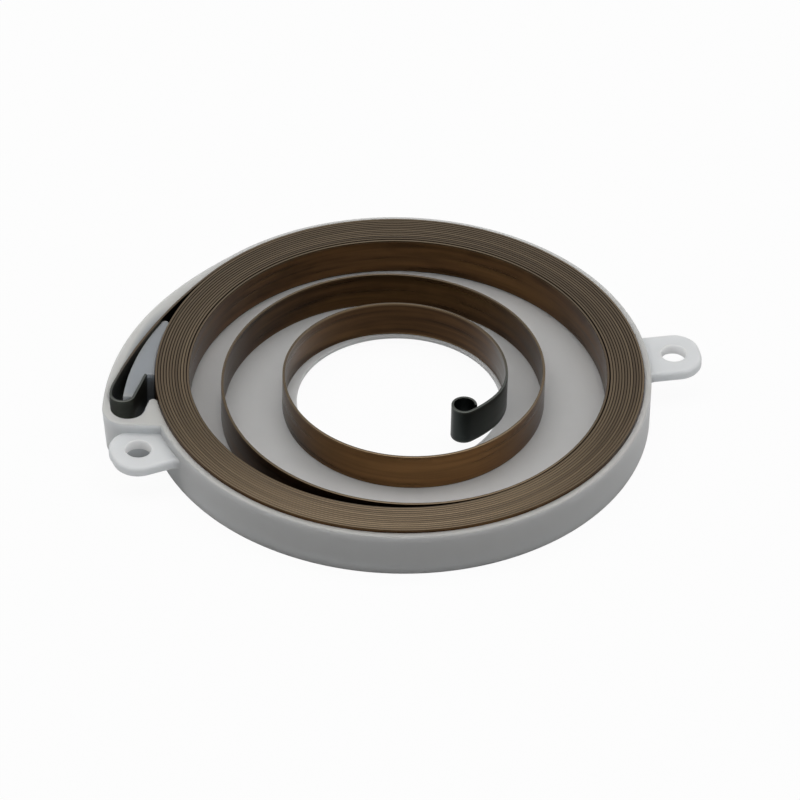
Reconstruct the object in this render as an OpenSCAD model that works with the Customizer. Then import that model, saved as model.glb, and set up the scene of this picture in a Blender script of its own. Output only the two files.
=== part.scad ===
// Recoil starter spring in its case: a flat steel strip wound into a spiral,
// lying in a round moulded tray with two screw ears and a side pocket for the hook.
// The ears' screw line runs along X, and the case stands on its foot at Z = 0.

/* [Strip] */
// Width of the steel strip, which is the spring's height
strip_w = 7.0; // [6:0.1:8]
// Thickness of the steel strip
strip_t = 0.46; // [0.4:0.01:0.5]
// Air between two turns of the wound pack
turn_gap = 0.045; // [0.04:0.005:0.05]
// Extra air round the innermost turn of the pack, which lies loose
loose_gap = 0.12; // [0.06:0.01:0.2]

/* [Case] */
// Outer radius of the case wall
case_r = 44.55; // [44.4:0.05:44.8]
// Thickness of the case wall
wall_t = 1.1; // [0.95:0.05:1.2]
// Radius of the rounding on the wall's outer top edge
rim_round = 0.35; // [0.1:0.05:0.4]
// Thickness of the floor
floor_t = 0.8; // [0.6:0.1:1.2]
// Height of the foot below the floor
foot_h = 1.2; // [0.8:0.1:1.6]
// Width of the foot under the wall
foot_w = 2.4; // [1.5:0.1:4]
// Radius of the opening for the rope drum's hub
hub_r = 18.1; // [16.5:0.1:18.5]
// Height of the strip above the rim
strip_proud = 0.5; // [0:0.1:0.8]
// Air between the wound pack and the wall
coil_gap = 0.15; // [0.1:0.01:0.2]

/* [Ears] */
// Distance of each screw hole from the case's axis
ear_r = 49.6; // [49:0.1:52]
// Angle of each ear below the X axis
ear_drop = 6.7; // [4:0.1:9]
// Diameter of the screw holes
ear_hole_d = 4.5; // [3.5:0.1:5.5]
// Width of an ear
ear_w = 10.7; // [9.2:0.1:12]
// Length of an ear past the middle of its hole
ear_end = 4.9; // [4.6:0.1:6]
// Corner radius of an ear
ear_round = 4.5; // [2:0.1:4.5]
// Thickness of an ear
ear_t = 2.1; // [1.2:0.05:2.5]
// Height of an ear's underside above the base
ear_z = 4.45; // [3:0.05:5.5]

/* [Free turns] */
// Radius of the wide knee before the eye
knee_r = 11; // [10:0.5:12]
// Radius of the shank between the knee and the eye
shank_r = 20; // [18:1:26]
// Radius of the eye at the strip's middle
eye_r = 2.05; // [1.9:0.05:2.2]

/* [Hook] */
// Radius of the gently bowed leg that leaves the pack
leg_r = 98.5; // [98:0.1:99]
// Radius of the bend at the leg's end
heel_r = 10; // [9:0.1:10.5]
// Radius of the hook's turn at the strip's middle
hook_r = 2.1; // [2:0.05:2.2]
// Length of the straight tail
tail_l = 6.4; // [5:0.1:6.6]
// Air round the hook and its leg
hook_gap = 0.12; // [0.08:0.01:0.15]

/* [Pocket] */
// Radius of the pocket's outer wall where it leaves the ring
flare_r = 71.8; // [71.4:0.2:72.2]
// Radius of the pocket's outer wall beside the hook
side_r = 54.8; // [54.6:0.1:55]
// Radius of the pocket's outer corner
corner_r = 4.55; // [4.4:0.05:4.8]
// Thickness of the wall round the pocket's end
end_wall_t = 1.45; // [1.2:0.05:1.5]
// Distance of the post's side from the pocket's outer face
post_in = 3.45; // [3.35:0.05:3.6]

/* [Hidden] */
$fn = 180;

// Angle between the pocket's own axes and the ears
pocket_turn = 17.7;

// Heights
floor_top = foot_h + floor_t;
strip_top = floor_top + strip_w;
rim_z = strip_top - strip_proud;

// Angles of the 3-4-5 and 7-24-25 triangles: arcs that meet at these have round coordinates
flat_a = atan2(3, 4);
steep_a = atan2(4, 3);
slight_a = atan2(7, 24);

// The wound pack, walked inwards and clockwise from where the leg leaves it
cavity_r = case_r - wall_t;
pack_r = cavity_r - coil_gap - strip_t / 2;
pitch = strip_t + turn_gap;
leave_a = 180 - flat_a;
tight_turns = 12;
loose_r = pack_r - tight_turns * pitch - loose_gap;

// Each turn is a circle that lies on the turn outside it, and steps inwards beside the pocket
function turn_arcs(r, step) = [
    [r, 360 - steep_a],
    [r - 7.5 * step, slight_a],
    [r + 2.5 * step, flat_a]
];
pack_arcs = concat(
    [for (k = [0:tight_turns - 2]) each turn_arcs(pack_r - k * pitch, pitch)],
    turn_arcs(loose_r + pitch + loose_gap, pitch + loose_gap),
    [[loose_r, 180 + slight_a]]
);

// The free turns tighten arc by arc towards the eye
free_radii = [33.6, 32.4, 31.2, 28.2, 25.9, 24.9, 22.5, 22.5, 20.0, 19.9, 18.7];
free_arcs = [for (i = [0:len(free_radii) - 1]) [free_radii[i], i % 3 == 0 ? 2 * flat_a : steep_a]];
eye_arcs = [[knee_r, flat_a], [shank_r, slight_a], [eye_r, 360 - steep_a]];

// The hook, walked outwards from the same place
hook_arcs = [[leg_r, flat_a - slight_a], [heel_r, slight_a], [hook_r, 180 - slight_a]];

// The pocket's outer wall: flare, side and corner
pocket_arcs = [[flare_r, slight_a], [side_r, flat_a], [corner_r, 90]];
pocket_a = 90 + flat_a;
flare_sink = 0.15;
land_a = 193;
land_r = case_r + 0.5;

function dir(a) = [cos(a), sin(a)];

// Tangent arcs in a row, each as [centre, radius, first angle, last angle]
function walk(arcs, c, r, a, way, i = 0) =
    i == len(arcs) ? [] :
    let (c2 = c + (r - arcs[i][0]) * dir(a), a2 = a + way * arcs[i][1])
    concat([[c2, arcs[i][0], a, a2]], walk(arcs, c2, arcs[i][0], a2, way, i + 1));

inner_path = walk(concat(pack_arcs, free_arcs, eye_arcs), [0, 0], pack_r, leave_a, -1);
hook_path = walk(hook_arcs, [0, 0], pack_r, leave_a, 1);
pocket_path = walk(pocket_arcs, [0, 0], case_r - flare_sink, pocket_a, 1);

step_arc = inner_path[2];
leg = hook_path[0];
heel = hook_path[1];
bend = hook_path[2];
tail_start = bend[0] + bend[1] * dir(bend[3]);
side = pocket_path[1];
corner = pocket_path[2];

// Corners of a fan that covers the angles from a to b round c
function fan(c, a, b, far) =
    let (n = ceil(abs(b - a) / 60))
    concat([c], [for (i = [0:n]) c + far * dir(a + (b - a) * i / n)]);

// One bent length of strip
module strip_arc(arc) {
    far = arc[1] < 48 ? 60 : 200;
    linear_extrude(strip_w)
        intersection() {
            translate(arc[0])
                difference() {
                    circle(arc[1] + strip_t / 2);
                    circle(arc[1] - strip_t / 2);
                }
            polygon(fan(arc[0], arc[2], arc[3], far));
        }
}

// A slice of a disc between two angles
module slice(c, r, a, b) {
    intersection() {
        translate(c) circle(r);
        polygon(fan(c, a, b, 2 * r));
    }
}

module arc_slice(arc, grow) {
    slice(arc[0], arc[1] + grow, arc[2], arc[3]);
}

module spiral_spring() {
    color("#6b5a45")
        rotate([0, 0, -pocket_turn])
            translate([0, 0, floor_top])
                union() {
                    for (arc = inner_path) strip_arc(arc);
                    for (arc = hook_path) strip_arc(arc);
                    translate([tail_start[0], tail_start[1], 0])
                        rotate([0, 0, bend[3]])
                            translate([-strip_t / 2, 0, 0])
                                cube([strip_t, tail_l, strip_w]);
                }
}

// Outside of the case as one turned section, still solid above its floor
module blank() {
    rotate_extrude()
        union() {
            translate([hub_r, foot_h]) square([case_r - rim_round - hub_r, rim_z - foot_h]);
            translate([hub_r, foot_h]) square([case_r - hub_r, rim_z - rim_round - foot_h]);
            translate([case_r - rim_round, rim_z - rim_round]) circle(rim_round);
            translate([case_r - foot_w, 0]) square([foot_w, floor_top]);
        }
}

// Plan of the swelling that holds the hook, with its straight front
module pocket_plan() {
    front = corner[0] + corner_r * dir(corner[3]);
    difference() {
        union() {
            for (arc = pocket_path) arc_slice(arc, 0);
            polygon([corner[0], front, [-38, front[1]], [-38, corner[0][1]]]);
        }
        circle(cavity_r + wall_t / 2);
    }
}

// Plan of the room cut for the leg and the hook, past the land
module hook_room_plan() {
    room = strip_t / 2 + hook_gap;
    end_r = corner_r - end_wall_t;
    heel_end = heel[0] + (heel_r + room) * dir(heel[3]);
    leg_end = leg[0] + (leg_r + room) * dir(leg[3]);
    difference() {
        intersection() {
            translate([-60, -30]) square([27, 60]);
            union() {
                arc_slice(leg, room);
                arc_slice(heel, room);
                translate(corner[0]) circle(end_r);
                polygon([
                    leg_end,
                    heel_end,
                    corner[0] - [end_r, 0],
                    corner[0] + [end_r, 0],
                    [-40, corner[0][1]],
                    [-40, leg_end[1] + 3]
                ]);
            }
        }
        land_plan();
    }
}

// Plan of the land between the hook's room and the pack, with its rounded tip
module land_plan() {
    tip = (cavity_r + land_r) / 2 * dir(land_a);
    tip_d = 0.9 * (land_r - cavity_r);
    low = corner[0] + [corner_r - end_wall_t + 0.8, 0];
    slice([0, 0], norm(tip), land_a, land_a + 15);
    translate(tip) circle(d = tip_d);
    translate(low) circle(0.95);
    polygon([low + [0.9, 0], low - [0.9, 0], tip - [0.45 * tip_d, 0], tip + [0.45 * tip_d, 0]]);
}

// Plan of the post that the hook is bent round, with its back along the outermost turn
module post_plan() {
    room = strip_t / 2 + hook_gap;
    tip_y = 12;
    tail_in = tail_start - room * dir(bend[3]) + 0.3 * dir(bend[3] + 90);
    tail_end = tail_in + (tail_l + hook_gap) * dir(bend[3] + 90);
    post_r = side_r - post_in;
    step_r = step_arc[1] + room;
    tip_left = side[0][0] - sqrt(post_r * post_r - pow(tip_y - side[0][1], 2));
    tip_right = step_arc[0][0] - sqrt(step_r * step_r - pow(tip_y - step_arc[0][1], 2));
    translate([(tip_left + tip_right) / 2, tip_y])
        circle(d = 0.9 * (tip_right - tip_left));
    difference() {
        intersection() {
            translate(side[0]) circle(post_r);
            polygon([
                [-60, tail_in[1]],
                tail_in,
                tail_end,
                [-38, tail_end[1]],
                [-38, tip_y],
                [-60, tip_y]
            ]);
        }
        for (arc = [inner_path[1], step_arc]) arc_slice(arc, room);
    }
}

// Plan of one ear, pointing along X
module ear_plan() {
    far = ear_r + ear_end;
    half = ear_w / 2;
    root = cavity_r + 0.1;
    translate([root, -half]) square([far - ear_round - root, ear_w]);
    translate([root, ear_round - half]) square([far - root, ear_w - 2 * ear_round]);
    for (s = [-1, 1])
        translate([far - ear_round, s * (half - ear_round)]) circle(ear_round);
}

module ears() {
    for (a = [-ear_drop, 180 + ear_drop])
        rotate([0, 0, a])
            translate([0, 0, ear_z])
                linear_extrude(ear_t)
                    ear_plan();
}

module ear_holes() {
    for (a = [-ear_drop, 180 + ear_drop])
        rotate([0, 0, a])
            translate([ear_r, 0, ear_z - 1])
                cylinder(d = ear_hole_d, h = ear_t + 2);
}

module spring_case() {
    color("#dcdcd8")
        difference() {
            union() {
                blank();
                ears();
                rotate([0, 0, -pocket_turn])
                    linear_extrude(rim_z)
                        pocket_plan();
            }
            rotate([0, 0, -pocket_turn])
                translate([0, 0, floor_top])
                    linear_extrude(strip_w + 2)
                        difference() {
                            union() {
                                circle(cavity_r);
                                hook_room_plan();
                            }
                            post_plan();
                        }
            ear_holes();
        }
}

spring_case();
spiral_spring();
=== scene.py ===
# %% [markdown]
# # Recoil starter spring in its case
#
# The real object is two pieces. A flat strip of tempered steel is wound into a
# spiral, and a white moulded case holds it with its two screw ears and a pocket
# for the strip's hooked end. This lesson builds both as Blender meshes around
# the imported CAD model, which fixes every size and place. It ends with the
# materials, the light and the camera of the photograph's view.

# %% Load the frame
import math

import bpy
import numpy as np
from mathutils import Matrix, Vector


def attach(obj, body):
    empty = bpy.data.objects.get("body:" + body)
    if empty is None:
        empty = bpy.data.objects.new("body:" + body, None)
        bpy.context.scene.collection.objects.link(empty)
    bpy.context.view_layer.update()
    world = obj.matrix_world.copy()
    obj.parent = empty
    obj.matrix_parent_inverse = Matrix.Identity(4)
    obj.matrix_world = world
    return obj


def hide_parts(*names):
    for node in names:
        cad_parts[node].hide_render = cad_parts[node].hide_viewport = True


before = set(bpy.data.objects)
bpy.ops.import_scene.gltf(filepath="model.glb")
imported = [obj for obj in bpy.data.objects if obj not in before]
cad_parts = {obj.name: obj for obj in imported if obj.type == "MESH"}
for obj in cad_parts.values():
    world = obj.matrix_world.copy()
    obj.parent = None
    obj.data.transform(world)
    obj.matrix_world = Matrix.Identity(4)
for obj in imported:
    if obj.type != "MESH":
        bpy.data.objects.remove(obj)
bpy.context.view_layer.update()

# %% [markdown]
# ## Sizes
# Blender works in metres, but a spring maker thinks in millimetres. The sizes
# are written in millimetres as in the CAD source, and one factor turns them to
# metres when something is drawn.

# %% Sizes in millimetres
MM = 0.001
POCKET_TURN = 17.7

strip_w, strip_t = 7.0, 0.46
turn_gap, loose_gap = 0.045, 0.12
wall_gap, hook_gap = 0.15, 0.12
case_r, wall_t = 44.55, 1.1
floor_t, foot_h, foot_w = 0.8, 1.2, 2.4
hub_r = 18.1
rim_z = 8.5

floor_top = foot_h + floor_t
cavity_r = case_r - wall_t
pack_r = cavity_r - wall_gap - strip_t / 2
pitch = strip_t + turn_gap
print("floor at", floor_top, "mm, outermost turn at radius", pack_r, "mm")

# %% [markdown]
# ## The strip as a row of arcs
# A coiled strip is nothing but arcs that follow each other smoothly: two arcs
# are tangent when both centres lie on the line through the joint. So the whole
# spring can be described by radii and angles alone. `walk` finds each centre
# from the one before. All the angles in the CAD source are those of 3-4-5 and
# 7-24-25 triangles, and they are used here too.

# %% Arcs of the spring
FLAT = math.degrees(math.atan2(3, 4))
STEEP = math.degrees(math.atan2(4, 3))
SLIGHT = math.degrees(math.atan2(7, 24))
LEAVE = 180 - FLAT - POCKET_TURN


def toward(angle):
    """Unit vector in plan at an angle in degrees."""
    return Vector((math.cos(math.radians(angle)), math.sin(math.radians(angle)), 0))


def walk(arcs, centre, radius, angle, way):
    """Rows of (centre, radius, first angle, last angle) for arcs that follow each other."""
    rows = []
    for next_radius, sweep in arcs:
        centre = centre + (radius - next_radius) * toward(angle)
        radius = next_radius
        rows.append((centre, radius, angle, angle + way * sweep))
        angle += way * sweep
    return rows


def turn(radius, step):
    """One turn of the pack: nearly a full circle, then two arcs that step inwards."""
    return [(radius, 360 - STEEP), (radius - 7.5 * step, SLIGHT), (radius + 2.5 * step, FLAT)]


TIGHT_TURNS = 12
loose_r = pack_r - TIGHT_TURNS * pitch - loose_gap
pack_arcs = []
for k in range(TIGHT_TURNS - 1):
    pack_arcs += turn(pack_r - k * pitch, pitch)
pack_arcs += turn(loose_r + pitch + loose_gap, pitch + loose_gap)
pack_arcs.append((loose_r, 180 + SLIGHT))
free_radii = [33.6, 32.4, 31.2, 28.2, 25.9, 24.9, 22.5, 22.5, 20.0, 19.9, 18.7]
free_arcs = [(r, 2 * FLAT if i % 3 == 0 else STEEP) for i, r in enumerate(free_radii)]
eye_arcs = [(11, FLAT), (20, SLIGHT), (2.05, 360 - STEEP)]
hook_arcs = [(98.5, FLAT - SLIGHT), (10, SLIGHT), (2.1, 180 - SLIGHT)]

origin = Vector((0, 0, 0))
inward = walk(pack_arcs + free_arcs + eye_arcs, origin, pack_r, LEAVE, -1)
outward = walk(hook_arcs, origin, pack_r, LEAVE, 1)
strip_path = [(c, r, b, a) for c, r, a, b in reversed(outward)] + inward
TAIL = 6.4
strip_length = TAIL + sum(r * math.radians(a - b) for c, r, a, b in strip_path)
print(len(strip_path), "arcs make a strip of", round(strip_length), "mm")

# %% [markdown]
# ## Drawing helpers
# A few helpers do what the mouse does in the viewport. `take` makes one
# object active and opens it in edit mode, `pick` selects vertices by their
# place, and `draw` draws an outline: it starts from one vertex and pulls it
# along lines with extrude, or round centres with spin. Everything is deselected
# first, because an operator acts on all that is selected.

# %% Drawing helpers
MERGE = 0.004


def take(obj, mode="EDIT"):
    """Makes obj the only selected object and enters a mode."""
    if bpy.context.object and bpy.context.object.mode != "OBJECT":
        bpy.ops.object.mode_set(mode="OBJECT")
    bpy.ops.object.select_all(action="DESELECT")
    obj.select_set(True)
    bpy.context.view_layer.objects.active = obj
    bpy.ops.object.mode_set(mode=mode)


def pick(obj, test, kind="VERT"):
    """Selects the vertices, edges or faces of obj whose points, in mm, all pass a test."""
    take(obj)
    bpy.ops.mesh.select_mode(type=kind)
    bpy.ops.mesh.select_all(action="DESELECT")
    bpy.ops.object.mode_set(mode="OBJECT")
    mesh = obj.data
    good = [bool(test(v.co / MM)) for v in mesh.vertices]
    if kind == "VERT":
        for v in mesh.vertices:
            v.select = good[v.index]
    else:
        for part in mesh.edges if kind == "EDGE" else mesh.polygons:
            part.select = all(good[i] for i in part.vertices)
    bpy.ops.object.mode_set(mode="EDIT")


def spin(centre, sweep, steps):
    """Spins what is selected round a centre in mm; a positive sweep runs clockwise from above."""
    bpy.ops.mesh.spin(steps=steps, angle=math.radians(sweep), center=centre * MM, axis=(0, 0, 1))


def pull(x, y, z):
    """Extrudes what is selected by a distance in mm."""
    bpy.ops.mesh.extrude_region_move(TRANSFORM_OT_translate={"value": (x * MM, y * MM, z * MM)})


def open_edges(obj):
    """How many edges of obj don't have a face on both sides; a closed solid has none."""
    take(obj)
    bpy.ops.mesh.select_mode(type="EDGE")
    bpy.ops.mesh.select_all(action="DESELECT")
    bpy.ops.mesh.select_non_manifold()
    bpy.ops.object.mode_set(mode="OBJECT")
    return sum(e.select for e in obj.data.edges)


def draw(name, start, moves):
    """A flat outline from a start in mm and moves: ("to", x, y, z) or ("round", centre, sweep, steps)."""
    bpy.ops.object.select_all(action="DESELECT")
    bpy.ops.mesh.primitive_plane_add(size=MM)
    obj = bpy.context.object
    obj.name = obj.data.name = name
    take(obj)
    bpy.ops.mesh.select_mode(type="VERT")
    bpy.ops.mesh.select_all(action="SELECT")
    bpy.ops.mesh.merge(type="CENTER")
    bpy.ops.transform.translate(value=Vector(start) * MM)
    here = Vector(start)
    for move in moves:
        if move[0] == "to":
            there = Vector(move[1:])
            pull(*(there - here))
        else:
            spin(*move[1:])
            angle = math.radians(-move[2])
            arm = here - move[1]
            there = move[1] + Vector((
                arm.x * math.cos(angle) - arm.y * math.sin(angle),
                arm.x * math.sin(angle) + arm.y * math.cos(angle),
                arm.z,
            ))
        here = there
    bpy.ops.mesh.select_all(action="SELECT")
    bpy.ops.mesh.remove_doubles(threshold=MERGE * MM)
    bpy.ops.mesh.edge_face_add()
    bpy.ops.object.mode_set(mode="OBJECT")
    print(name, "outline of", len(obj.data.vertices), "points, closed within",
          round((here - Vector(start)).length, 4), "mm")
    return obj


# %% [markdown]
# ## The spring
# The strip starts as one small plane that is its cross section. Real strip has
# rounded edges, so the plane's four corners are bevelled, and only the outline
# is kept. One such outline stands at the start of each arc and is spun round
# that arc's centre, which gives a short open tube. The tubes are then joined
# and their meeting rings merged. A curve with a bevel could do it too, but spin
# keeps exact arcs and evenly spaced rings, and short tubes keep it quick.

# %% Section of the strip
EDGE_ROUND = 0.1
EDGE_SLOPE = 0.035
mid_z = floor_top + strip_w / 2


def section(place, angle):
    """The strip's outline in cross section, across a place in plan, ready to be pulled or spun."""
    bpy.ops.object.select_all(action="DESELECT")
    bpy.ops.mesh.primitive_plane_add(
        size=MM,
        location=(place + Vector((0, 0, mid_z))) * MM,
        rotation=(math.radians(90), 0, math.radians(angle)),
    )
    obj = bpy.context.object
    obj.scale = (strip_t, strip_w, 1)
    bpy.ops.object.transform_apply(location=True, rotation=True, scale=True)
    take(obj)
    bpy.ops.mesh.select_all(action="SELECT")
    bpy.ops.mesh.bevel(offset=EDGE_ROUND * MM, segments=2, affect="VERTICES")
    pick(obj, lambda p: p.z > mid_z and (p - place).dot(toward(angle)) > 0)
    bpy.ops.transform.translate(value=(0, 0, -EDGE_SLOPE * MM))
    bpy.ops.mesh.select_all(action="SELECT")
    bpy.ops.mesh.delete(type="ONLY_FACE")
    bpy.ops.mesh.select_all(action="SELECT")
    return obj


# %% [markdown]
# ## Winding
# The straight tail comes first, as one pull. Then each arc gets a section of its
# own and a spin. Large arcs need a ring every 1.5 degrees to look round, and the
# tight bends at hook and eye need far fewer.

# %% Wind the strip
bend = strip_path[0]
tail_in = bend[0] + bend[1] * toward(bend[2])
tail_end = tail_in + TAIL * toward(bend[2] + 90)
tubes = [section(tail_end, bend[2])]
pull(*(tail_in - tail_end))
for centre, radius, first, last in strip_path:
    ring_gap = 1.5 if radius > 15 else 3 if radius > 5 else 7.5
    bpy.ops.object.mode_set(mode="OBJECT")
    tubes.append(section(centre + radius * toward(first), first))
    spin(centre, first - last, max(2, math.ceil((first - last) / ring_gap)))
bpy.ops.object.mode_set(mode="OBJECT")
print(len(tubes), "tubes spun")

# %% [markdown]
# ## Joining the tubes
# Neighbouring tubes end in the same ring, so merging by distance makes one tube
# of them all. Its two open ends are then filled, and the normals point outwards.

# %% Join the tubes to one strip
for tube in tubes:
    tube.select_set(True)
spring = tubes[0]
bpy.context.view_layer.objects.active = spring
bpy.ops.object.join()
spring.name = spring.data.name = "tempered_strip"
take(spring)
bpy.ops.mesh.select_all(action="SELECT")
bpy.ops.mesh.remove_doubles(threshold=MERGE * MM)
bpy.ops.mesh.fill_holes(sides=0)
bpy.ops.mesh.select_all(action="SELECT")
bpy.ops.mesh.normals_make_consistent(inside=False)
print("the strip has", len(spring.data.polygons), "faces and", open_edges(spring), "open edges")

# %% [markdown]
# ## The case: the turned part
# The case is moulded, but most of it is round: floor, wall and foot have one
# section all the way round. So that section is drawn as a flat outline, its
# corners are rounded with a vertex bevel, and the outline is spun a full turn.
# Rounding the flat section first is far easier than bevelling rims later.

# %% Tray by spinning its section
RIM_ROUND = 0.35
FULL_TURN_STEPS = 240

tray = draw("nylon_case", (hub_r, 0, foot_h), [
    ("to", case_r - foot_w, 0, foot_h),
    ("to", case_r - foot_w, 0, 0),
    ("to", case_r, 0, 0),
    ("to", case_r, 0, rim_z),
    ("to", cavity_r, 0, rim_z),
    ("to", cavity_r, 0, floor_top),
    ("to", hub_r, 0, floor_top),
])
rounded_corners = [
    (case_r, rim_z, RIM_ROUND, 4),
    (cavity_r, rim_z, 0.12, 2),
    (case_r, 0, 0.3, 3),
    (case_r - foot_w, 0, 0.2, 2),
    (hub_r, foot_h, 0.2, 2),
    (hub_r, floor_top, 0.2, 2),
]
for x, z, radius, segments in rounded_corners:
    pick(tray, lambda p: abs(p.x - x) < 0.01 and abs(p.z - z) < 0.01)
    bpy.ops.mesh.bevel(offset=radius * MM, segments=segments, affect="VERTICES")
bpy.ops.mesh.select_all(action="SELECT")
bpy.ops.mesh.delete(type="ONLY_FACE")
bpy.ops.mesh.select_all(action="SELECT")
spin(origin, 360, FULL_TURN_STEPS)
bpy.ops.mesh.select_all(action="SELECT")
bpy.ops.mesh.remove_doubles(threshold=MERGE / 2 * MM)
bpy.ops.mesh.normals_make_consistent(inside=False)
bpy.ops.object.mode_set(mode="OBJECT")
print("the tray has", len(tray.data.polygons), "faces and", open_edges(tray), "open edges")

# %% [markdown]
# ## The case: the pocket
# On one side the wall swells out to a pocket for the strip's hook. Its outer
# wall is again a row of arcs, and its front is straight. It is drawn in plan,
# filled, pulled up to the rim and bevelled along the top. The room inside it is
# a second solid, and the post that holds the hook a third. They are drawn in
# the pocket's own axes, which are turned a little against the ears.

# %% Pocket block
def plan(x, y, z=0):
    """A point in mm in the pocket's own axes, turned to the axes of the part."""
    return x * toward(-POCKET_TURN) + y * toward(90 - POCKET_TURN) + Vector((0, 0, z))


def in_pocket(point):
    """A point's x and y in the pocket's own axes."""
    return point.dot(toward(-POCKET_TURN)), point.dot(toward(90 - POCKET_TURN))


def solid(obj, height):
    """Pulls a flat outline up to a closed solid, with its faces pointing outwards."""
    take(obj)
    bpy.ops.mesh.select_all(action="SELECT")
    pull(0, 0, height)
    bpy.ops.mesh.select_all(action="SELECT")
    bpy.ops.mesh.normals_make_consistent(inside=False)
    bpy.ops.object.mode_set(mode="OBJECT")


flare_r, side_r, corner_r = 71.8, 54.8, 4.55
SINK = 0.15
mid_wall_r = cavity_r + wall_t / 2
flare_a = 90 + FLAT - POCKET_TURN
pocket_walls = walk(
    [(flare_r, SLIGHT), (side_r, FLAT), (corner_r, 90)], origin, case_r - SINK, flare_a, 1
)
side_centre, corner_centre = pocket_walls[1][0], pocket_walls[2][0]
front_y = in_pocket(corner_centre)[1] - corner_r
front_in = plan(-math.sqrt(mid_wall_r**2 - front_y**2), front_y)
front_a = math.degrees(math.atan2(front_in.y, front_in.x)) % 360

# a boolean fails where two faces lie in one plane, so the block stays shy of the rim and the base
SHY = 0.01
lift = Vector((0, 0, SHY))
moves = [("round", c + lift, a - b, math.ceil(abs(b - a) / (1 if r > 10 else 7.5)))
         for c, r, a, b in pocket_walls]
moves += [("to", *(front_in + lift)), ("round", origin + lift, front_a - flare_a, 60)]
pocket = draw("pocket_block", (case_r - SINK) * toward(flare_a) + lift, moves)
solid(pocket, rim_z - 2 * SHY)
print("pocket corner at", [round(v, 2) for v in corner_centre])

# %% [markdown]
# ## Rounding the pocket
# A moulded wall leans a little, so that it leaves the tool. The foot of the
# pocket is moved inwards in small steps, and each step takes only the points that
# lie further out, so the lean grows from nothing. Then rim and foot are bevelled.

# %% Round the pocket's rim
def outside_wall(p):
    """True on the pocket's visible walls, false on the part sunk in the ring."""
    return math.hypot(p.x, p.y) > case_r - SINK - 0.02


DRAFT, DRAFT_STEPS, DRAFT_FROM = 0.75, 10, 41
for k in range(DRAFT_STEPS):
    pick(pocket, lambda p: p.z < 2 * SHY and outside_wall(p) and in_pocket(p)[0] < -DRAFT_FROM - k)
    bpy.ops.transform.translate(value=DRAFT / DRAFT_STEPS * MM * toward(-POCKET_TURN))
pick(pocket, lambda p: p.z > rim_z - 2 * SHY and outside_wall(p), "EDGE")
bpy.ops.mesh.bevel(offset=RIM_ROUND * MM, segments=4, affect="EDGES")
pick(pocket, lambda p: p.z < 2 * SHY and math.hypot(p.x, p.y) > case_r + 0.3, "EDGE")
bpy.ops.mesh.bevel(offset=0.3 * MM, segments=3, affect="EDGES")
bpy.ops.object.mode_set(mode="OBJECT")
print("the pocket has", len(pocket.data.polygons), "faces and", open_edges(pocket), "open edges")

# %% [markdown]
# ## Room for the hook
# The room follows the strip's own leg and heel at a small distance, goes round
# the end of the pocket and ends at the land, the tongue of plastic between
# pocket and pack. Its last side lies inside the pack, where nothing is left to cut.

# %% Room for the hook
ROOM = strip_t / 2 + hook_gap
LAND_A = 193 - POCKET_TURN
POCKET_WALL, IN_PACK_R = 1.45, 41
END_R = corner_r - POCKET_WALL
leg, heel = outward[0], outward[1]
land_tip = (cavity_r + case_r + 0.5) / 2 * toward(LAND_A)
LAND_TIP_R = 0.72
CUT_Z = floor_top + 0.01
lift = Vector((0, 0, CUT_Z))

room = draw("hook_room", leg[0] + (leg[1] + ROOM) * toward(leg[2]) + lift, [
    ("round", leg[0] + lift, leg[2] - leg[3], 24),
    ("round", heel[0] + lift, heel[2] - heel[3], 6),
    ("to", *(corner_centre - END_R * toward(-POCKET_TURN) + lift)),
    ("round", corner_centre + lift, -180, 24),
    ("to", *(land_tip - LAND_TIP_R * toward(-POCKET_TURN) + lift)),
    ("round", land_tip + lift, 150, 12),
    ("to", *(IN_PACK_R * toward(190 - POCKET_TURN) + lift)),
    ("to", *(IN_PACK_R * toward(150 - POCKET_TURN) + lift)),
])
solid(room, strip_w + 2)

# %% [markdown]
# ## Post for the hook
# The hook is held by a slim post between leg and pack. Its back follows the
# outermost turn, its outer side the pocket's wall, and its foot the hook's tail.

# %% Post for the hook
POST_TIP_Y, POST_IN, POST_STEP, POST_BASE = 12, 3.45, 0.3, 1.6
post_r = side_r - POST_IN
tail_a = bend[2]
foot_in = tail_in - ROOM * toward(tail_a) + POST_STEP * toward(tail_a + 90)
foot_out = foot_in + (TAIL + hook_gap) * toward(tail_a + 90)
foot_in_y, foot_out_y = in_pocket(foot_in)[1], in_pocket(foot_out)[1]
side_x, side_y = in_pocket(side_centre)
step_centre, step_r = inward[2][0], inward[2][1] + ROOM
step_x, step_y = in_pocket(step_centre)


def back_x(y):
    """Where the post's back lies, along the outermost turn, at a height y of the pocket's axes."""
    return step_x - math.sqrt(step_r**2 - (y - step_y) ** 2)


def post_x(y):
    """Where the post's outer side lies at a height y of the pocket's axes."""
    return side_x - math.sqrt(post_r**2 - (y - side_y) ** 2)


def swing(a, b, centre_x=0, centre_y=0):
    """Clockwise angle from point a to point b round a centre, all in the pocket's axes."""
    first = math.atan2(a[1] - centre_y, a[0] - centre_x) % math.tau
    last = math.atan2(b[1] - centre_y, b[0] - centre_x) % math.tau
    return math.degrees(first - last)


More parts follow.
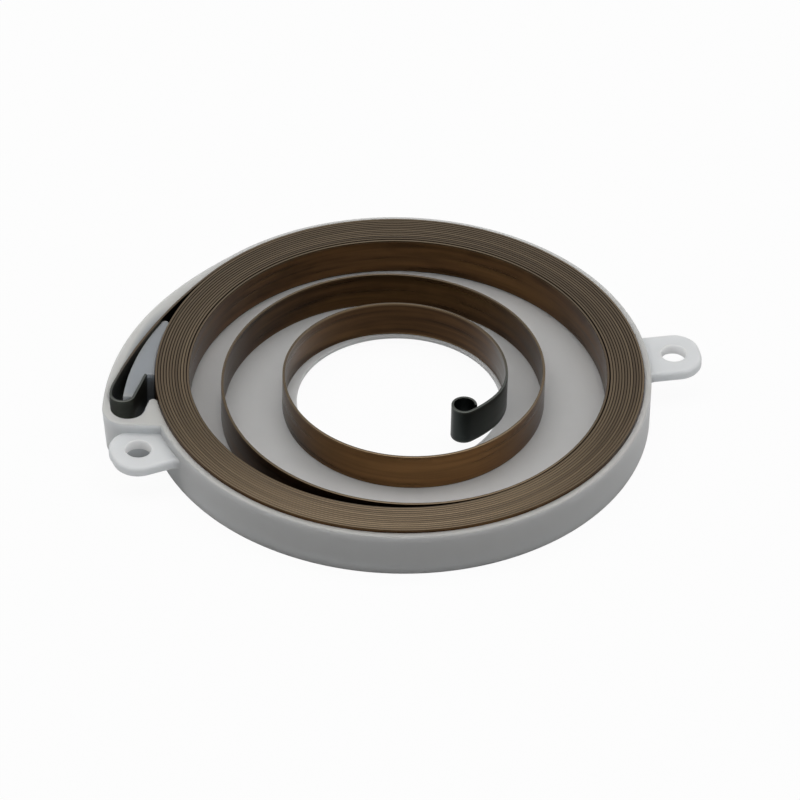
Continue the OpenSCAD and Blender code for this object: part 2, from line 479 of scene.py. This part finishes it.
low_right, tip_right = (back_x(foot_out_y), foot_out_y), (back_x(POST_TIP_Y), POST_TIP_Y)
tip_left, low_left = (post_x(POST_TIP_Y), POST_TIP_Y), (post_x(foot_in_y), foot_in_y)
lift = Vector((0, 0, POST_BASE))
post = draw("hook_post", foot_in + lift, [
    ("to", *(foot_out + lift)),
    ("to", *(plan(*low_right) + lift)),
    ("round", step_centre + lift, swing(low_right, tip_right, step_x, step_y), 20),
    ("round", plan((tip_left[0] + tip_right[0]) / 2, POST_TIP_Y) + lift, -180, 8),
    ("round", side_centre + lift, swing(tip_left, low_left, side_x, side_y), 24),
])
solid(post, rim_z - POST_BASE)
pick(post, lambda p: p.z > rim_z - 0.01, "EDGE")
bpy.ops.mesh.bevel(offset=0.12 * MM, segments=2, affect="EDGES")
bpy.ops.object.mode_set(mode="OBJECT")

# %% [markdown]
# ## The case: the screw ears
# Each ear is a plate with a round-cornered end and a hole for a screw. One ear
# is drawn lying along X, pulled up, bored with a boolean and softened along its
# edges. A copy of it is turned to the other side.

# %% Ears
EAR_R, EAR_END, EAR_W, EAR_ROUND = 49.6, 4.9, 10.7, 4.5
EAR_T, EAR_Z, EAR_DROP = 2.1, 4.45, 6.7
HOLE_R, HOLE_EDGE, EAR_EDGE = 2.25, 0.25, 0.6


def combine(obj, other, operation):
    """Joins or cuts obj with another solid, which is then removed."""
    take(obj, "OBJECT")
    step = obj.modifiers.new(operation.lower(), "BOOLEAN")
    step.operation, step.solver, step.object = operation, "EXACT", other
    bpy.ops.object.modifier_apply(modifier=step.name)
    print(operation.lower(), "with", other.name, "leaves", open_edges(obj), "open edges")
    bpy.data.objects.remove(other)


ROOT_ROUND, EAR_SINK = 1.3, 0.05
far, half = EAR_R + EAR_END, EAR_W / 2
root_y = half + ROOT_ROUND
root_x = math.sqrt((case_r - EAR_SINK + ROOT_ROUND) ** 2 - root_y**2)
root_a = math.degrees(math.atan2(root_y, root_x))
wall_spot = (case_r - EAR_SINK) * toward(root_a)
inner_spot = mid_wall_r * toward(root_a)
ear = draw("ear", (inner_spot.x, -inner_spot.y, EAR_Z), [
    ("to", wall_spot.x, -wall_spot.y, EAR_Z),
    ("round", Vector((root_x, -root_y, EAR_Z)), 90 - root_a, 8),
    ("to", far - EAR_ROUND, -half, EAR_Z),
    ("round", Vector((far - EAR_ROUND, EAR_ROUND - half, EAR_Z)), -90, 14),
    ("to", far, half - EAR_ROUND, EAR_Z),
    ("round", Vector((far - EAR_ROUND, half - EAR_ROUND, EAR_Z)), -90, 14),
    ("to", root_x, half, EAR_Z),
    ("round", Vector((root_x, root_y, EAR_Z)), 90 - root_a, 8),
    ("to", inner_spot.x, inner_spot.y, EAR_Z),
])
solid(ear, EAR_T)
bpy.ops.object.select_all(action="DESELECT")
bpy.ops.mesh.primitive_cylinder_add(
    vertices=48, radius=HOLE_R * MM, depth=4 * MM, location=(EAR_R * MM, 0, (EAR_Z + EAR_T / 2) * MM)
)
combine(ear, bpy.context.object, "DIFFERENCE")


def on_outline(p):
    """True on the ear's free outline, false at its hole and inside the wall."""
    return math.hypot(p.x - EAR_R, p.y) > HOLE_R + 0.4 and math.hypot(p.x, p.y) > case_r - 0.1


for z in (EAR_Z, EAR_Z + EAR_T):
    pick(ear, lambda p: abs(p.z - z) < 0.01 and math.hypot(p.x - EAR_R, p.y) < HOLE_R + 0.05, "EDGE")
    bpy.ops.mesh.bevel(offset=HOLE_EDGE * MM, segments=3, affect="EDGES")
    pick(ear, lambda p: abs(p.z - z) < 0.01 and on_outline(p), "EDGE")
    bpy.ops.mesh.bevel(offset=EAR_EDGE * MM, segments=5, affect="EDGES")
bpy.ops.object.mode_set(mode="OBJECT")
print("an ear has", len(ear.data.polygons), "faces and", open_edges(ear), "open edges")

# %% [markdown]
# ## Turning the ears
# Both ears droop a little against the case's middle line, one on each side.

# %% Turn the ears to their places
take(ear, "OBJECT")
bpy.ops.object.duplicate()
other_ear = bpy.context.object
for one, angle in ((ear, -EAR_DROP), (other_ear, 180 + EAR_DROP)):
    take(one)
    bpy.ops.mesh.select_all(action="SELECT")
    bpy.ops.transform.rotate(value=-math.radians(angle), orient_axis="Z", center_override=(0, 0, 0))
    bpy.ops.object.mode_set(mode="OBJECT")
    middle = sum((v.co for v in one.data.vertices), Vector()) / len(one.data.vertices) / MM
    print("ear middle at", [round(v, 1) for v in middle])

# %% [markdown]
# ## One solid
# The order matters: the pocket is added before its room is cut, and the post is
# added after that, so that the cut doesn't take it away.

# %% Make the case one solid
combine(tray, pocket, "UNION")
combine(tray, room, "DIFFERENCE")
combine(tray, post, "UNION")
combine(tray, ear, "UNION")
combine(tray, other_ear, "UNION")
print("the case has", len(tray.data.polygons), "faces and", open_edges(tray), "open edges")

# %% [markdown]
# ## Smooth shading
# Both meshes are fine polygons that stand for round shapes. Smooth shading hides
# their facets, and a weighted normal modifier keeps the large flat faces flat
# next to the narrow rounded edges.

# %% Smooth both pieces
for piece in (spring, tray):
    take(piece, "OBJECT")
    bpy.ops.object.shade_smooth_by_angle(angle=math.radians(38))
    step = piece.modifiers.new("weighted", "WEIGHTED_NORMAL")
    step.mode, step.weight, step.keep_sharp = "FACE_AREA", 90, True
    bpy.ops.object.modifier_apply(modifier=step.name)
    print(piece.name, "smoothed")

# %% [markdown]
# ## Where a point lies along the strip
# The strip's colour changes along its length: it was tempered brown, and its
# two ends were heated again for bending and turned black. A material can't know
# the length, so each vertex gets it as an attribute, worked out from the arcs.
# Two more attributes hold the height across the strip and how far a point lies
# from the middle of its thickness, for wear along the edges and for the gaps.

# %% Length along the strip
spots = np.empty(3 * len(spring.data.vertices))
spring.data.vertices.foreach_get("co", spots)
spots = spots.reshape(-1, 3) / MM
run = np.full(len(spots), -1.0)
aside = np.zeros(len(spots))
done = TAIL
for centre, radius, first, last in strip_path:
    arm = spots[:, :2] - np.array(centre[:2])
    turned = (first - np.degrees(np.arctan2(arm[:, 1], arm[:, 0])) + 0.01) % 360 - 0.01
    off = np.abs(np.hypot(arm[:, 0], arm[:, 1]) - radius)
    hit = (off < 0.6 * strip_t) & (turned < first - last + 0.01) & (run < 0)
    run[hit] = done + radius * np.radians(turned[hit])
    aside[hit] = off[hit]
    done += radius * math.radians(first - last)
on_tail = run < 0
run[on_tail] = (spots[on_tail] - np.array(tail_end)) @ np.array(toward(bend[2] - 90))
for name, values in (("run_mm", run), ("across_mm", spots[:, 2] - floor_top), ("aside_mm", aside)):
    layer = spring.data.attributes.new(name, "FLOAT", "POINT")
    layer.data.foreach_set("value", values.astype(np.float32))
print(int(on_tail.sum()), "points on the tail")
print("the run goes from", round(run.min(), 2), "to", round(run.max(), 1))

# %% [markdown]
# ## Materials
# One small function adds a node, sets it and links its inputs. Colours are
# written as sRGB hex, as a colour picker shows them, and one function turns
# them to the linear values that Blender computes with. `ramp`, `blend` and
# `calc` add their node to the tree at hand, which is always called `tree`.

# %% Material helpers
def linear(hex_colour):
    """An sRGB hex colour as the linear RGBA that a shader takes."""
    parts = [int(hex_colour[i:i + 2], 16) / 255 for i in (1, 3, 5)]
    return [c / 12.92 if c <= 0.04045 else ((c + 0.055) / 1.055) ** 2.4 for c in parts] + [1.0]


def add(tree, kind, inputs=(), **settings):
    """Adds a node; inputs maps a socket's name or number to a value or to another node's output."""
    node = tree.nodes.new(kind)
    for key, value in settings.items():
        setattr(node, key, value)
    for key, value in dict(inputs).items():
        if isinstance(value, bpy.types.NodeSocket):
            tree.links.new(value, node.inputs[key])
        else:
            node.inputs[key].default_value = value
    return node


def material(name):
    """A new material with an empty node tree, and its output node."""
    made = bpy.data.materials.new(name)
    made.use_nodes = True
    made.node_tree.nodes.clear()
    return made, made.node_tree, made.node_tree.nodes.new("ShaderNodeOutputMaterial")


def ramp(value, start, end, low=0.0, high=1.0):
    """Output that goes from low to high while a value goes from start to end."""
    return add(tree, "ShaderNodeMapRange", {
        "Value": value, "From Min": start, "From Max": end, "To Min": low, "To Max": high,
    }).outputs[0]


def blend(factor, colour_a, colour_b):
    """Output that mixes two colours."""
    return add(tree, "ShaderNodeMix", {
        "Factor": factor, "A": colour_a, "B": colour_b,
    }, data_type="RGBA").outputs["Result"]


def calc(operation, a, b=0.0):
    """Output of one sum."""
    return add(tree, "ShaderNodeMath", {0: a, 1: b}, operation=operation).outputs[0]


# %% [markdown]
# ## Natural nylon
# The case is injection moulded from unfilled nylon, which is milky and lets
# light into it. That is why the thick ears look white, while the thin wall looks
# grey: its light is lost in the dark steel close behind it. Subsurface
# scattering over a few millimetres gives most of that. Three places still differ
# from the photograph, so their colour is set by where they lie: the rim gets
# painted shade for more of its light lost in the steel, the post is painted a
# darker bluish grey, and the walls of the screw holes get a painted glow for the
# light in the ears.

# %% Shades of the nylon
# unfilled nylon, moulded in one shot: milky and even, only a little cloudy from the flow
CLOUD_MM = 12.0
nylon, tree, out = material("natural_nylon_moulded")
metres = add(tree, "ShaderNodeTexCoord").outputs["Object"]
spot = add(tree, "ShaderNodeVectorMath", {0: metres, "Scale": 1 / MM}, operation="SCALE").outputs[0]
clouds = add(tree, "ShaderNodeTexNoise", {"Vector": spot, "Scale": 1 / CLOUD_MM, "Detail": 3.0})
cloud = clouds.outputs["Fac"]
x, y, z = add(tree, "ShaderNodeSeparateXYZ", {"Vector": spot}).outputs
shade = blend(cloud, linear("#CBCED0"), linear("#D4D6D7"))
# painted shade: everything within half a millimetre of the rim's height is painted greyer, for light that
# the thin wall loses in the steel behind it
shade = blend(ramp(z, rim_z - 0.45, rim_z - 0.05, 0.0, 0.85), shade, linear("#B4B3AE"))

# an oval around the post, which is about 19 mm long and leans 14 degrees in the pocket
oval = add(tree, "ShaderNodeMapping", {
    "Vector": spot, "Location": plan(-44.6, 2.5),
    "Rotation": (0, 0, math.radians(-POCKET_TURN - 14)), "Scale": (3.4, 13, 1000),
}, vector_type="TEXTURE")
from_post = add(tree, "ShaderNodeVectorMath", {0: oval.outputs[0]}, operation="LENGTH").outputs["Value"]
shade = blend(ramp(from_post, 0.8, 1.15, 0.9, 0.0), shade, linear("#82888F"))

# painted glow: the walls of the screw holes and a thin ring round them are painted near white, for the
# light that the ears let through
# both holes lie alike on the two sides, so the distance along X is taken without its sign
hole = EAR_R * toward(-EAR_DROP)
off_axis = add(tree, "ShaderNodeCombineXYZ", {
    "X": calc("SUBTRACT", calc("ABSOLUTE", x), hole.x), "Y": calc("SUBTRACT", y, hole.y),
})
from_hole = add(tree, "ShaderNodeVectorMath", {0: off_axis.outputs[0]}, operation="LENGTH").outputs["Value"]
shade = blend(ramp(from_hole, HOLE_R + 0.03, HOLE_R + 0.25, 1.0, 0.0), shade, linear("#F2F3F3"))
print("holes at", round(hole.x, 2), round(hole.y, 2))

# %% [markdown]
# ## Skin of the nylon
# The tool's fine eroded skin makes the case satin. Its real grain is about a tenth
# of a millimetre, which is finer than one pixel of the picture. It is drawn four
# times coarser here, and so faintly that it only softens the gloss.

# %% Skin of the nylon
# moulded against a spark-eroded tool: satin, with a very fine grain
SKIN_MM = 0.4
skin = add(tree, "ShaderNodeTexNoise", {"Vector": spot, "Scale": 1 / SKIN_MM, "Detail": 2.0})
bump = add(tree, "ShaderNodeBump", {"Height": skin.outputs["Fac"], "Strength": 0.12, "Distance": 0.00003})
shader = add(tree, "ShaderNodeBsdfPrincipled", {
    "Base Color": shade,
    "Roughness": ramp(cloud, 0.3, 0.7, 0.42, 0.54),
    "IOR": 1.53,
    "Subsurface Weight": 1.0,
    "Subsurface Radius": (0.007, 0.0072, 0.0075),
    "Subsurface Scale": 1.0,
    "Normal": bump.outputs["Normal"],
})
tree.links.new(shader.outputs["BSDF"], out.inputs["Surface"])
tray.data.materials.clear()
tray.data.materials.append(nylon)
print("nylon on", tray.name)

# %% [markdown]
# ## Tempered spring steel
# The strip is rolled, slit, hardened and tempered in air. Tempering leaves a thin
# brown oxide with streaks along the rolling direction. All that happens to the
# strip happens along it or across it, so the shader works with the measures on
# the mesh instead of with places in space. A few helpers keep its nodes short.

# %% Measures on the strip
# rolled and tempered in air, which gives a satin brown with streaks along the strip and paler slit edges
steel, tree, out = material("tempered_spring_steel")


def streaks(length_mm, width_mm, detail):
    """Noise stretched along the strip, with streaks of a length and a width in mm."""
    at = add(tree, "ShaderNodeCombineXYZ", {
        "X": calc("MULTIPLY", along, 1 / length_mm), "Y": calc("MULTIPLY", across, 1 / width_mm),
    })
    noise = add(tree, "ShaderNodeTexNoise", {
        "Vector": at.outputs[0], "Scale": 1.0, "Detail": detail,
    })
    return noise.outputs["Fac"]


along = add(tree, "ShaderNodeAttribute", attribute_name="run_mm").outputs["Fac"]
across = add(tree, "ShaderNodeAttribute", attribute_name="across_mm").outputs["Fac"]
aside_mid = add(tree, "ShaderNodeAttribute", attribute_name="aside_mm").outputs["Fac"]
from_edge = calc("SUBTRACT", strip_w / 2, calc("ABSOLUTE", calc("SUBTRACT", across, strip_w / 2)))
print("measures along, across and aside are in the shader")

# %% [markdown]
# ## Brown of the oxide
# The oxide drifts from dark brown to straw, as thick and thin oxide do. Two
# noises make it: short streaks and long patches. The free turns came out darker
# than the pack. One place at the front gets a painted highlight, a pale straw
# brown for the lit floor it reflects, and one at the back gets painted shade,
# near black, and both are set where they lie along the strip.

# %% Brown of the oxide
def run_at(arc, share):
    """Length along the strip, in mm, at a share of one of its arcs."""
    before = strip_path[:strip_path.index(arc)]
    lengths = [r * math.radians(a - b) for c, r, a, b in before + [arc]]
    return TAIL + sum(lengths[:-1]) + share * lengths[-1]


def between(start, full, fade, end):
    """Output that rises along the strip from start to full and falls from fade to end."""
    return calc("MULTIPLY", ramp(along, start, full), ramp(along, fade, end, 1.0, 0.0))


PACK_END = run_at(strip_path[-14], 0)
long_streak = streaks(25.0, 1.4, 4.0)
patch = streaks(60.0, 12.0, 2.0)
brown = blend(ramp(long_streak, 0.3, 0.7), linear("#3E2C1D"), linear("#6E5032"))
brown = blend(ramp(patch, 0.5, 0.75, 0.0, 0.6), brown, linear("#7A5A33"))
blotch = streaks(14.0, 5.0, 3.0)
brown = blend(ramp(blotch, 0.5, 0.72, 0.0, 0.55), brown, linear("#22160D"))
brown = blend(ramp(along, PACK_END - 60.0, PACK_END + 90.0, 0.0, 0.42), brown, linear("#1E140C"))
front_run, back_run = run_at(strip_path[-8], 0.3), run_at(strip_path[-5], 0.5)
# painted highlight: a pale straw brown on a free turn's front face, for the lit floor that it reflects
painted_front_highlight = between(front_run - 28, front_run - 6, front_run + 6, front_run + 30)
brown = blend(calc("MULTIPLY", painted_front_highlight, ramp(long_streak, 0.3, 0.6, 0.5, 1.0)), brown, linear("#8A6641"))
# painted shade: a free turn's back face is darkened towards black
painted_back_shade = between(back_run - 40, back_run, back_run, back_run + 40)
brown = blend(calc("MULTIPLY", painted_back_shade, 0.5), brown, linear("#140D08"))
print("the pack ends", round(PACK_END), "mm along the strip")

# %% [markdown]
# ## Ends, edges and gaps
# Both ends were heated again for bending, which burnt the brown off: the hook is
# grey and the eye nearly black. The slit edges rub against tools and against
# each other, so they and a narrow band next to them are brighter. Painted shade
# in the gaps of the tight turns draws the dark lines between them, and more
# painted shade darkens the leg where it runs beside the pack.

# %% Ends, edges and gaps
# all lengths here are in mm along the strip, from its hooked end or back from its eye
leg_end = ramp(along, 45.0, 75.0, 1.0, 0.0)
hook_end = ramp(along, 14.0, 26.0, 1.0, 0.0)
eye_end = ramp(along, strip_length - 34.0, strip_length - 22.0)
face = blend(leg_end, brown, linear("#6B6455"))
# painted shade: the leg's face goes near black from 26 to 90 mm along, where it runs in the dark slot
# beside the pack
face = blend(calc("MULTIPLY", between(26.0, 42.0, 60.0, 90.0), 0.8), face, linear("#15120E"))
face = blend(hook_end, face, linear("#50524B"))
face = blend(eye_end, face, linear("#424541"))
face = blend(ramp(along, strip_length - 18.0, strip_length - 10.0), face, linear("#2A2E2D"))
heated = calc("MAXIMUM", hook_end, eye_end)
worn = calc("MULTIPLY", ramp(from_edge, 0.1, 0.5, 1.0, 0.0), ramp(long_streak, 0.25, 0.75, 0.25, 0.75))
worn_colour = blend(heated, linear("#7C6A52"), linear("#5A5C58"))
edge_colour = blend(ramp(streaks(90.0, 1000.0, 2.0), 0.38, 0.62), linear("#4E4438"), linear("#645848"))
edge_colour = blend(heated, edge_colour, linear("#444643"))
colour = blend(worn, face, worn_colour)
colour = blend(ramp(from_edge, 0.02, EDGE_ROUND, 1.0, 0.0), colour, edge_colour)
in_pack = between(60.0, 110.0, PACK_END + 20.0, PACK_END + 60.0)
# painted shade: the rounded edges of the tight turns are painted near black, which draws the dark lines in
# the gaps between them
painted_groove_shade = calc("MULTIPLY", ramp(aside_mid, 0.15, 0.2), ramp(from_edge, 0.1, 0.2, 1.0, 0.0))
colour = blend(calc("MULTIPLY", painted_groove_shade, in_pack), colour, linear("#211A13"))
print("ends, edges and gaps coloured")

# %% [markdown]
# ## Sheen of the steel
# Rolling leaves hair-fine lines along the strip, so the bump is a noise that is
# long in the run and narrow across. Real lines are a few hundredths of a
# millimetre wide. They are drawn coarser, at a quarter of a millimetre, because a
# pixel of the picture is about 0.2 mm wide. The streaks also change the roughness
# a little, and the burnt ends are duller.

# %% Sheen of the steel
ROLL_MM = 0.25
rolling = streaks(8.0, ROLL_MM, 3.0)
gloss = calc("ADD", ramp(long_streak, 0.3, 0.7, 0.25, 0.37), calc("MULTIPLY", heated, 0.08))
grain = add(tree, "ShaderNodeBump", {"Height": rolling, "Strength": 0.1, "Distance": 0.00001})
shader = add(tree, "ShaderNodeBsdfPrincipled", {
    "Base Color": colour,
    "Metallic": 1.0,
    "Roughness": gloss,
    "Normal": grain.outputs["Normal"],
})
tree.links.new(shader.outputs["BSDF"], out.inputs["Surface"])
spring.data.materials.clear()
spring.data.materials.append(steel)
print("steel on", spring.name)

# %% [markdown]
# ## Floor and world
# The photograph has a plain white ground. Camera, mirror and glass rays see
# floor and world as white, so the steel reflects that white too. A little of the
# floor's own lit surface stays in the mix, so the object keeps its shadow. Light
# that only falls on things finds a much dimmer world, so nothing is washed out.

# %% Floor and world
def seen():
    """Output that is 1 for camera, mirror and glass rays, and 0 for light that only falls on things."""
    rays = add(tree, "ShaderNodeLightPath").outputs
    either = calc("MAXIMUM", rays["Is Camera Ray"], rays["Is Glossy Ray"])
    return calc("MAXIMUM", either, rays["Is Transmission Ray"])


bpy.ops.object.select_all(action="DESELECT")
bpy.ops.mesh.primitive_plane_add(size=6)
floor = bpy.context.object
floor.name = "floor"
# matt paper, pressed smooth: even and without gloss, so it shows a shadow but no mirror image
paper, tree, out = material("white_table_paper")
share = calc("MULTIPLY", seen(), 0.95)
dull = add(tree, "ShaderNodeBsdfDiffuse", {"Color": linear("#D8D8D8")})
white = add(tree, "ShaderNodeEmission", {"Color": (1, 1, 1, 1), "Strength": 1.0})
mixed = add(tree, "ShaderNodeMixShader", {
    0: share, 1: dull.outputs[0], 2: white.outputs[0],
})
tree.links.new(mixed.outputs[0], out.inputs["Surface"])
floor.data.materials.append(paper)

world = bpy.data.worlds.new("studio")
bpy.context.scene.world = world
world.use_nodes = True
tree = world.node_tree
tree.nodes.clear()
out = tree.nodes.new("ShaderNodeOutputWorld")
level = ramp(seen(), 0.0, 1.0, 0.2, 1.0)
sky = add(tree, "ShaderNodeBackground", {"Color": (1, 1, 1, 1), "Strength": level})
tree.links.new(sky.outputs[0], out.inputs["Surface"])
print("floor and world placed")

# %% [markdown]
# ## Lamp
# One wide, flat softbox hangs over the table, with its long side across the
# view. It is what makes the strip's edges bright at the front, where they lean
# towards it, and leaves the upright faces brown. It is kept weak enough that the
# white ears stay below pure white.

# %% Lamp
def softbox(name, place, target, wide, deep, watts):
    """A soft lamp of a width and a depth, at a place in metres, aimed at a target."""
    lamp = bpy.data.lights.new(name, "AREA")
    lamp.shape, lamp.size, lamp.size_y, lamp.energy = "RECTANGLE", wide, deep, watts
    obj = bpy.data.objects.new(name, lamp)
    bpy.context.scene.collection.objects.link(obj)
    obj.location = place
    obj.rotation_euler = (Vector(target) - Vector(place)).to_track_quat("-Z", "Y").to_euler()
    obj.rotation_euler.rotate_axis("Z", math.radians(-POCKET_TURN))
    return obj


softbox("top_softbox", (0.0, 0.1, 1.0), (0, 0, 0), 2.2, 0.7, 12.5)
print("lamp placed")

# %% [markdown]
# ## Camera
# The round outlines in the photograph are nearly true ellipses, so it was taken
# from far off with a long lens. Place, aim and roll were found by fitting the
# case's rim, its ears and the hub's opening to the picture.

# %% Camera
FOCAL_PX, FRAME_PX = 6000, 800
lens = bpy.data.cameras.new("photo_camera")
camera = bpy.data.objects.new("photo_camera", lens)
bpy.context.scene.collection.objects.link(camera)
bpy.context.scene.camera = camera
lens.sensor_fit, lens.sensor_width = "HORIZONTAL", 36
lens.lens = 36 * FOCAL_PX / FRAME_PX
lens.clip_start, lens.clip_end = 0.01, 20
place = Vector((-248.892, -779.882, 681.819)) * MM
aim = Vector((-0.728, -2.9505, 4.5)) * MM
look = (aim - place).to_track_quat("-Z", "Y").to_matrix().to_4x4()
roll = math.radians(1.414)
camera.matrix_world = look
camera.rotation_euler.rotate_axis("Z", roll)
camera.location = place
bpy.context.scene.view_settings.view_transform = "Standard"
print("camera at", [round(v, 3) for v in camera.location])

# %% [markdown]
# ## Hand over
# Each mesh is tied to the body it belongs to and takes the place of its CAD solid.
# Neither piece moves, so both ride on the root.

# %% Hand over
for piece, node, finish in (
    (spring, "spiral_spring", "spring_steel"),
    (tray, "spring_case", "case_nylon"),
):
    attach(piece, "root")
    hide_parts(node)
